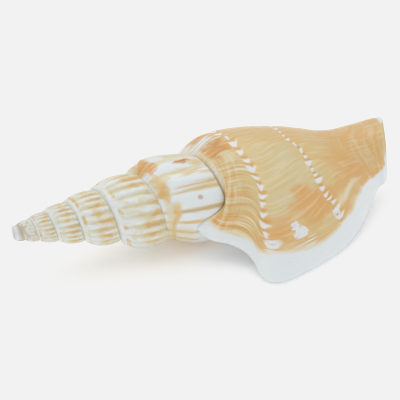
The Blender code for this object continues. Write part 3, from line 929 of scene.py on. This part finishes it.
def shoulder(body, angle, share, depth, strayed, off, lines, thread, cloud):
    """The last whorl's shoulder: pale, streaked, and with a rusty blotch."""
    pale = strayed.between(*PALE_SHOULDER) * depth.rise(5.0, 3.4)
    body = (pale * thread.rise(0.60, 0.46)).mixed(body, WHITE)
    ridge = strayed.rise(-58.0, -34.0) * angle.rise(-14.0, -24.0)
    ridge = ridge * share.rise(0.03, 0.06) * share.rise(0.75, 0.35)
    body = (ridge * (lines * 0.5 + 0.60)).least(1.0).mixed(body, RUST)
    rusty = spot(strayed, off, *SHOULDER_BLOTCH) * (thread.rise(0.35, 0.60) * 0.5 + 0.5)
    body = rusty.mixed(body, RUST)
    body = (rusty * cloud.rise(0.48, 0.60) * 0.75).mixed(body, BROWN)
    return (spot(strayed, off, *SHOULDER_GAP) * 0.7).mixed(body, STRAW)


def suture_cords(body, angle, depth, strayed, thread, cloud):
    """Cords next to the last whorl's suture, and painted shade along the suture itself."""
    cords = noise(depth * 1.9 + centred(cloud) * 0.4, angle * 0.03, 13.0)
    corded = depth.between(*CORDED_DEPTHS) * strayed.rise(12.0, 40.0) * 0.34
    body = (cords.rise(0.49, 0.60) * corded).mixed(body, CREAM)
    body = (cords.rise(0.47, 0.38) * corded).mixed(body, RUST)
    chalky = depth.rise(1.3, 0.6) * angle.between(*WHITE_SUTURE) * thread.rise(0.38, 0.52)
    body = (chalky * 0.85).mixed(body, WHITE)
    body = (depth.rise(1.3, 0.5) * 0.55 * cloud.rise(0.40, 0.55)).mixed(body, CREAM)
    # painted shade: umber darkens the suture's groove, where the last whorl's edge overhangs
    return (depth.rise(0.45, 0.05) * angle.between(*SUTURE_PAINTED_SHADE) * 0.7).mixed(body, UMBER)


def front_bands(body, angle, share, broad):
    """Bands round the front end."""
    bands = noise(share * 38.0 + centred(broad) * 3.0 + angle * 0.02, angle * 0.03, 5.0)
    body = (share.rise(0.62, 0.82) * bands.rise(0.42, 0.70) * 0.40).mixed(body, STRAW)
    return (share.rise(0.58, 0.80) * bands.rise(0.54, 0.34) * 0.5).mixed(body, ORANGE)


def white_marks(body, angle, waved, share, margin, upper, lower, thread):
    """Two rows of white wedges, each in the shade of a rusty one, and single marks near the lip."""
    ahead = wedges(upper[0] + WEDGE_SHADE, upper[1], 0.95, 2.0)
    ahead = ahead.most(wedges(lower[0] + WEDGE_SHADE, lower[1], 0.80, 5.0))
    body = (ahead * 0.65).mixed(body, RUST)
    white = wedges(*upper, 0.95, 2.0).most(wedges(*lower, 0.85, 5.0))
    white = white * margin.rise(0.5, -0.8)
    ragged = centred(noise(waved * 0.9, share * 80.0, 21.0, detail=4.0, roughness=0.65))
    blots, other_blot = [spot(angle, share, *oval) for oval in WHITE_BLOTS]
    blots = blots.most(other_blot)
    torn = (blots + ragged * 3.4 + centred(thread) * 2.0).rise(0.45, 0.85)
    white = white.most(torn * blots.rise(0.1, 0.3))
    curl = spot(angle, share, *CURL) - spot(angle, share, *CURL_HOLLOW)
    white = white.most(curl * 0.75)
    streaks, other_streak = [spot(angle, share, *oval) for oval in WHITE_STREAKS]
    white = white.most(streaks.most(other_streak) * thread.rise(0.49, 0.56))
    return (white * 0.95).mixed(body, WHITE)


def white_ends(body, angle, share, margin, lines, cloud):
    """The lip's margin, and the front end's rim."""
    banded = margin.near(*GROWTH_BAND) * share.between(*GROWTH_BAND_SHARES)
    body = (banded * 0.5).mixed(body, CREAM)
    edge = margin + centred(lines) * (share.rise(0.45, 0.65) * 2.6 + 1.4) + centred(cloud) * 1.4
    body = (edge.rise(-1.1, 0.0) * 0.7).mixed(body, CREAM)
    body = edge.rise(-0.45, 0.35).mixed(body, WHITE)
    ends = angle.rise(14.0, 2.0).most(angle.rise(52.0, 66.0))
    rim = (share + centred(cloud) * 0.02).rise(0.966, 0.984)
    return (rim * (ends * 0.6 + 0.35)).mixed(body, ends.mixed(STRAW, WHITE))


def spire_whorls(angle, across, ribs, lines, cloud):
    """Colour of the spire, with painted shade along its sutures."""
    worn = angle.rise(START + 700.0, START + 60.0)
    uneven = ribs + centred(cloud) * 0.5
    furrow = abs(centred(uneven.fraction())).rise(0.42, 0.04) * (1.0 - worn)
    lower = across.rise(0.28, 0.62)
    past_cord = across.rise(0.08, 0.17)
    grain = noise(ribs * 1.1, across * 2.6 + centred(cloud) * 0.5, 19.0, detail=3.0)
    patchy = noise(ribs * 0.34, across * 1.3 + centred(lines) * 0.5, 7.0, detail=3.0)
    spotty = noise(ribs * 0.8, across * 2.6, 17.0, detail=3.0)
    body = (past_cord * furrow * (lower * 0.45 + 0.40)).mixed(WHITE, STRAW)
    grainy = grain.rise(0.46, 0.60) * (past_cord * 0.6 + 0.4) * (1.0 - worn * 0.6)
    body = (grainy * 0.65).mixed(body, STRAW)
    stain = lower * patchy.rise(0.42, 0.56) * (furrow * 0.75 + 0.25) * (1.0 - worn * 0.6)
    body = (stain * 0.95).mixed(body, GOLD)
    body = (furrow * lower * patchy.rise(0.50, 0.60) * grain.rise(0.44, 0.58) * 0.75).mixed(body, ORANGE)
    body = (furrow * across.rise(0.55, 0.85) * grain.rise(0.54, 0.44) * 0.55).mixed(body, UMBER)
    upper = across.between(0.07, 0.22, 0.05) * (spotty + centred(cloud) * 0.2)
    body = (upper.rise(0.46, 0.60) * 0.75).mixed(body, GOLD)
    body = (upper.rise(0.55, 0.72) * 0.75).mixed(body, ORANGE)
    body = ((1.0 - past_cord) * grain.rise(0.46, 0.60) * 0.4).mixed(body, CREAM)
    smudge = worn * noise(across * 3.2, angle * 0.022, 9.0, detail=3.0).rise(0.46, 0.60)
    body = (smudge * 0.8).mixed(body, UMBER)
    # painted shade: umber darkens both edges of each whorl, in the suture's groove
    return (across.rise(0.035, 0.0).most(across.rise(0.965, 1.0)) * 0.3).mixed(body, UMBER)


def fold_colours(angle, across, off, ribs, lines, thread, cloud):
    """The whorl before the last one, where the ribs give way to broad folds."""
    close = angle.rise(*CLOSE_RIBS)
    furrow = abs(centred((ribs + centred(cloud) * 0.16).fraction())).rise(close * 0.16 + 0.14, 0.02)
    body = (furrow * 0.7).mixed(WHITE, STRAW)
    body = (furrow * across.rise(0.2, 0.5) * lines.rise(0.42, 0.56) * 0.7).mixed(body, GOLD)
    body = (furrow * close * thread.rise(0.44, 0.58) * 0.8).mixed(body, ORANGE)
    body = (angle.near(*UMBER_LINE) * off.between(*UMBER_LINE_WIDTH) * 0.85).mixed(body, UMBER)
    thin = noise(angle * 0.16, across * 1.2, 11.0, detail=3.0)
    streaked = across.rise(0.30, 0.60) * angle.between(*STREAKED)
    body = (thin.rise(0.50, 0.58) * streaked * 0.7).mixed(body, GOLD)
    line, other_line = [angle.near(*place) for place in ORANGE_LINES]
    body = (line.most(other_line) * off.between(*ORANGE_LINES_WIDTH) * 0.6).mixed(body, ORANGE)
    body = (angle.between(*GOLDEN_FOLD) * off.rise(0.45, 0.90) * 0.5).mixed(body, GOLD)
    return body, furrow


def back_marks(body, angle, across, strayed, off, thread, cloud):
    """That whorl towards the back: pale straw, with rusty blotches and a brown streak."""
    body = (strayed.rise(-350.0, -358.0) * 0.8).mixed(body, STRAW)
    body = (angle.between(*RUSTY_FOLD) * off.rise(0.10, 0.2) * 0.9).mixed(body, RUST)
    body = (spot(angle, across, *WHITE_GAP) * 0.9).mixed(body, WHITE)
    blotch = spot(strayed, off, *BACK_BLOTCH)
    body = (blotch * thread.rise(0.30, 0.50)).mixed(body, ORANGE)
    body = (blotch * cloud.rise(0.44, 0.58) * 0.8).mixed(body, RUST)
    body = (spot(strayed, off, *RUSTY_PATCH) * thread.rise(0.30, 0.45) * 0.9).mixed(body, RUST)
    body = (spot(strayed, off, *BROWN_STREAK) * 0.85).mixed(body, BROWN)
    return (spot(strayed, off, *GOLDEN_PATCH) * thread.rise(0.30, 0.46) * 0.85).mixed(body, GOLD)


def suture_band(body, angle, across, depth, strayed, off, furrow, cloud):
    """That whorl's golden stain next to the suture, and the golden band below it."""
    stain = spot(strayed, off, *SUTURE_STAIN)
    body = (stain * 0.9).mixed(body, GOLD)
    body = (stain * cloud.rise(0.44, 0.60) * 0.6).mixed(body, ORANGE)
    body = (spot(strayed, off, *STAIN_GAP) * 0.7).mixed(body, STRAW)
    body = (depth.between(*STRAW_DEPTHS) * angle.rise(-302.0, -290.0) * 0.8).mixed(body, STRAW)
    band = depth.between(*GOLDEN_DEPTHS) * angle.rise(-302.0, -292.0)
    body = (band * 0.9).mixed(body, GOLD)
    body = (band * cloud.rise(0.46, 0.58) * 0.35).mixed(body, ORANGE)
    low = angle.rise(-268.0, -256.0) * off.rise(0.42, 0.28)
    body = (low * (furrow * 0.5 + 0.35)).mixed(body, GOLD)
    return (spot(angle, across, *BROWN_FLECK) * 0.6).mixed(body, BROWN)


def outside_material():
    material, tree, finish = new_material("shell_outside", 0.2)
    angle, across, share = read_fields(tree, "growth")
    ribs, margin, depth = read_fields(tree, "form")
    upper = read_fields(tree, "upper_row")[:2]
    lower = read_fields(tree, "lower_row")[:2]
    leaning = share.rise(0.15, 0.55) * angle.rise(88.0, 62.0) * 14.0
    waved = angle + leaning + centred(noise(angle * 0.05, across * 2.0, 1.0)) * 6.0
    lines = noise(waved * 0.30, across * 1.9, 2.0, detail=3.0, roughness=0.6)
    thread = noise(waved * 0.52, across * 2.2, 4.0, detail=3.0)
    broad = noise(waved * 0.05, across * 2.4, 6.0, detail=2.0)
    cloud = noise(angle * 0.12, across * 7.0, 8.0, detail=3.0)

    strayed = angle + centred(cloud) * LAST_STRAY
    off = share + centred(lines) * 0.05 + centred(cloud) * 0.06
    body = last_colours(share, strayed, off, lines, broad, margin)
    body = growth_lines(body, share, lines, thread)
    body = shoulder(body, angle, share, depth, strayed, off, lines, thread, cloud)
    body = suture_cords(body, angle, depth, strayed, thread, cloud)
    body = front_bands(body, angle, share, broad)
    body = white_marks(body, angle, waved, share, margin, upper, lower, thread)
    body = white_ends(body, angle, share, margin, lines, cloud)

    spire = spire_whorls(angle, across, ribs, lines, cloud)
    strayed = angle + centred(cloud) * FOLDED_STRAY
    off = across + centred(cloud) * 0.16
    folded, furrow = fold_colours(angle, across, off, ribs, lines, thread, cloud)
    folded = back_marks(folded, angle, across, strayed, off, thread, cloud)
    folded = suture_band(folded, angle, across, depth, strayed, off, furrow, cloud)

    spire = angle.rise(*FOLDED_FROM).mixed(spire, folded)
    whorls = (angle + centred(broad) * 30.0).rise(*LAST_FROM).mixed(spire, body)
    glazed = (angle + centred(broad) * 20.0).rise(*GLAZE_TO) * share.rise(0.105, 0.135)
    plug(finish.inputs["Base Color"], (glazed * 0.95).mixed(whorls, WHITE))
    plug(finish.inputs["Roughness"], lines * 0.20 + 0.26)
    bumped(finish, thread * 0.6 + lines, 0.12)
    return material


def inside_material():
    material, tree, finish = new_material("shell_inside", 0.4)
    angle, _, share = read_fields(tree, "growth")
    cloud = noise(angle * 0.03, share * 3.0, 1.0)
    deep = angle.rise(97.0, 70.0)
    plug(finish.inputs["Base Color"], (deep * cloud.rise(0.25, 0.75)).mixed(WHITE, INNER_CREAM))
    plug(finish.inputs["Roughness"], cloud * 0.12 + 0.20)
    bumped(finish, noise(angle * 0.1, share * 8.0, 2.0, detail=1.0), 0.05)
    return material


# Room

CAMERA_AZIMUTH = -24.7
CAMERA_ELEVATION = 32.0
CAMERA_DISTANCE = 157.2
CAMERA_TARGET = (40.0, 0.0, 0.0)
CAMERA_ASIDE = (-3.887, -3.11)
SENSOR = 36.0
LENS = 72.0
NEAREST = 0.005
FARTHEST = 20.0

FLOOR_HALF = 4.0
FLOOR_GREY = 0.95
FLOOR_GLOW = 0.18
FLOOR_ROUGHNESS = 0.9

SKY_COLOUR = (0.98, 0.99, 1.0, 1)
SKY_STRENGTH = 0.72
PANEL_STRENGTH = 0.95
PANEL_WIDTH = 70.0
PANEL_TURN = (-14.0, -4.0, 0.0)


def add_camera():
    a, e = np.radians(CAMERA_AZIMUTH), np.radians(CAMERA_ELEVATION)
    back = np.array([np.sin(a) * np.cos(e), -np.cos(a) * np.cos(e), np.sin(e)])
    right = np.array([np.cos(a), np.sin(a), 0])
    up = np.cross(back, right)
    aim = np.array(CAMERA_TARGET) + right * CAMERA_ASIDE[0] + up * CAMERA_ASIDE[1]
    eye = (aim + back * CAMERA_DISTANCE - AXIS_ORIGIN) * MM
    data = bpy.data.cameras.new("photo_view")
    data.sensor_width, data.lens = SENSOR, LENS
    data.clip_start, data.clip_end = NEAREST, FARTHEST
    camera = bpy.data.objects.new("photo_view", data)
    camera.matrix_world = Matrix([[right[i], up[i], back[i], eye[i]] for i in range(3)] + [[0, 0, 0, 1]])
    bpy.context.scene.collection.objects.link(camera)
    bpy.context.scene.camera = camera


def add_floor():
    mesh = bpy.data.meshes.new("floor")
    sides = [(-1, -1), (1, -1), (1, 1), (-1, 1)]
    mesh.from_pydata([(x * FLOOR_HALF, y * FLOOR_HALF, 0) for x, y in sides], [], [(0, 1, 2, 3)])
    floor = bpy.data.objects.new("floor", mesh)
    bpy.context.scene.collection.objects.link(floor)
    material = bpy.data.materials.new("floor_panel")
    material.use_nodes = True
    finish = material.node_tree.nodes["Principled BSDF"]
    finish.inputs["Base Color"].default_value = (FLOOR_GREY, FLOOR_GREY, FLOOR_GREY, 1)
    finish.inputs["Emission Color"].default_value = (1, 1, 1, 1)
    finish.inputs["Emission Strength"].default_value = FLOOR_GLOW
    finish.inputs["Roughness"].default_value = FLOOR_ROUGHNESS
    finish.inputs["Specular IOR Level"].default_value = 0.0
    mesh.materials.append(material)
    return floor


def add_lights():
    world = bpy.data.worlds.new("room")
    world.use_nodes = True
    sky = world.node_tree.nodes["Background"]
    sky.inputs["Color"].default_value = SKY_COLOUR
    sky.inputs["Strength"].default_value = SKY_STRENGTH
    bpy.context.scene.world = world
    data = bpy.data.lights.new("sky_panel", "SUN")
    data.energy = PANEL_STRENGTH
    data.angle = np.radians(PANEL_WIDTH)
    lamp = bpy.data.objects.new("sky_panel", data)
    lamp.rotation_euler = np.radians(PANEL_TURN)
    bpy.context.scene.collection.objects.link(lamp)


# The photograph's white background is overexposed, then printed a little below white: light in, light out
SHOULDER_OF_TONES = [(0, 0), (0.70, 0.70), (0.80, 0.79), (0.90, 0.86), (0.97, 0.885), (1, 0.887)]


def set_tones():
    view = bpy.context.scene.view_settings
    view.view_transform = "Standard"
    view.use_curve_mapping = True
    mapping = view.curve_mapping
    mapping.extend = "HORIZONTAL"
    points = mapping.curves[3].points
    for (at, value), point in zip((SHOULDER_OF_TONES[0], SHOULDER_OF_TONES[-1]), points):
        point.location = (at, value)
    for at, value in SHOULDER_OF_TONES[1:-1]:
        points.new(at, value)
    mapping.update()


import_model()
surface = build_surface([outside_material(), inside_material()])
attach(surface, "root")
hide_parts("shell")
add_floor()
add_lights()
add_camera()
set_tones()
